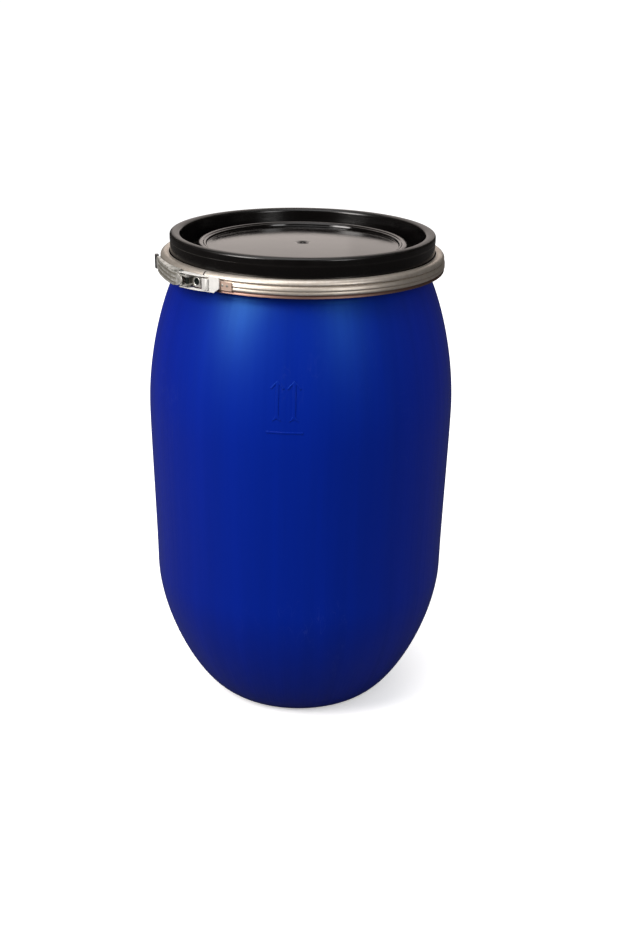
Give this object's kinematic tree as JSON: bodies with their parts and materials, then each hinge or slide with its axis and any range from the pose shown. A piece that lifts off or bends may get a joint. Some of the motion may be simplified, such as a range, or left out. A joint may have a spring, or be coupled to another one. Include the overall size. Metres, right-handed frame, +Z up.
{
  "type": "open head plastic drum",
  "caption": "Barrel-shaped open-top plastic drum with a moulded black lid held down by a split steel clamp ring that an over-centre lever latch locks.",
  "frame": {"origin": "the middle of the drum's foot, on the floor", "axes": "+Z up along the drum's axis, -Y towards the front, the lock at the front left"},
  "size_m": [0.5044, 0.5044, 0.8],
  "materials": {
    "drum_blue": "satin blow-moulded polyethylene, dyed through",
    "lid_black": "smooth injection-moulded polyethylene",
    "gasket_foam": "closed-cell foam rubber",
    "band_zinc": "rolled galvanised steel",
    "latch_zinc": "stamped and zinc-plated steel",
    "grip_black": "moulded polyethylene"
  },
  "bodies": {
    "drum": {"drum_body": "drum_blue"},
    "lid": {"lid": "lid_black", "lid_gasket": "gasket_foam"},
    "clamp_ring": {"ring_band": "band_zinc", "fulcrum_bracket": "latch_zinc", "fulcrum_rivet_1": "latch_zinc", "fulcrum_rivet_2": "latch_zinc", "hook_plate": "latch_zinc", "hook_rivet_1": "latch_zinc", "hook_rivet_2": "latch_zinc", "lever_pin": "latch_zinc"},
    "lever": {"lever": "latch_zinc", "lever_grip": "grip_black", "link_pin": "latch_zinc"},
    "link": {"link": "latch_zinc"}
  },
  "joints": [
    {"name": "lid_lift", "type": "slide", "parent": "drum", "child": "lid", "axis": [0, 0, 1], "range_m": [0, 0.25]},
    {"name": "ring_lift", "type": "slide", "parent": "drum", "child": "clamp_ring", "axis": [0, 0, 1], "range_m": [0, 0.12], "deforming": ["ring_band"]},
    {"name": "lever_swing", "type": "hinge", "parent": "clamp_ring", "child": "lever", "pos_m": [-0.17098, -0.16627, 0.7542], "axis": [0, 0, 1], "range_deg": [0, 150]},
    {"name": "link_swing", "type": "hinge", "parent": "lever", "child": "link", "pos_m": [-0.18005, -0.15695, 0.7542], "axis": [0, 0, 1], "range_deg": [-150, 0]}
  ],
  "couplings": [
    {"joint": "link_swing", "follows": "lever_swing", "ratio": -1}
  ]
}
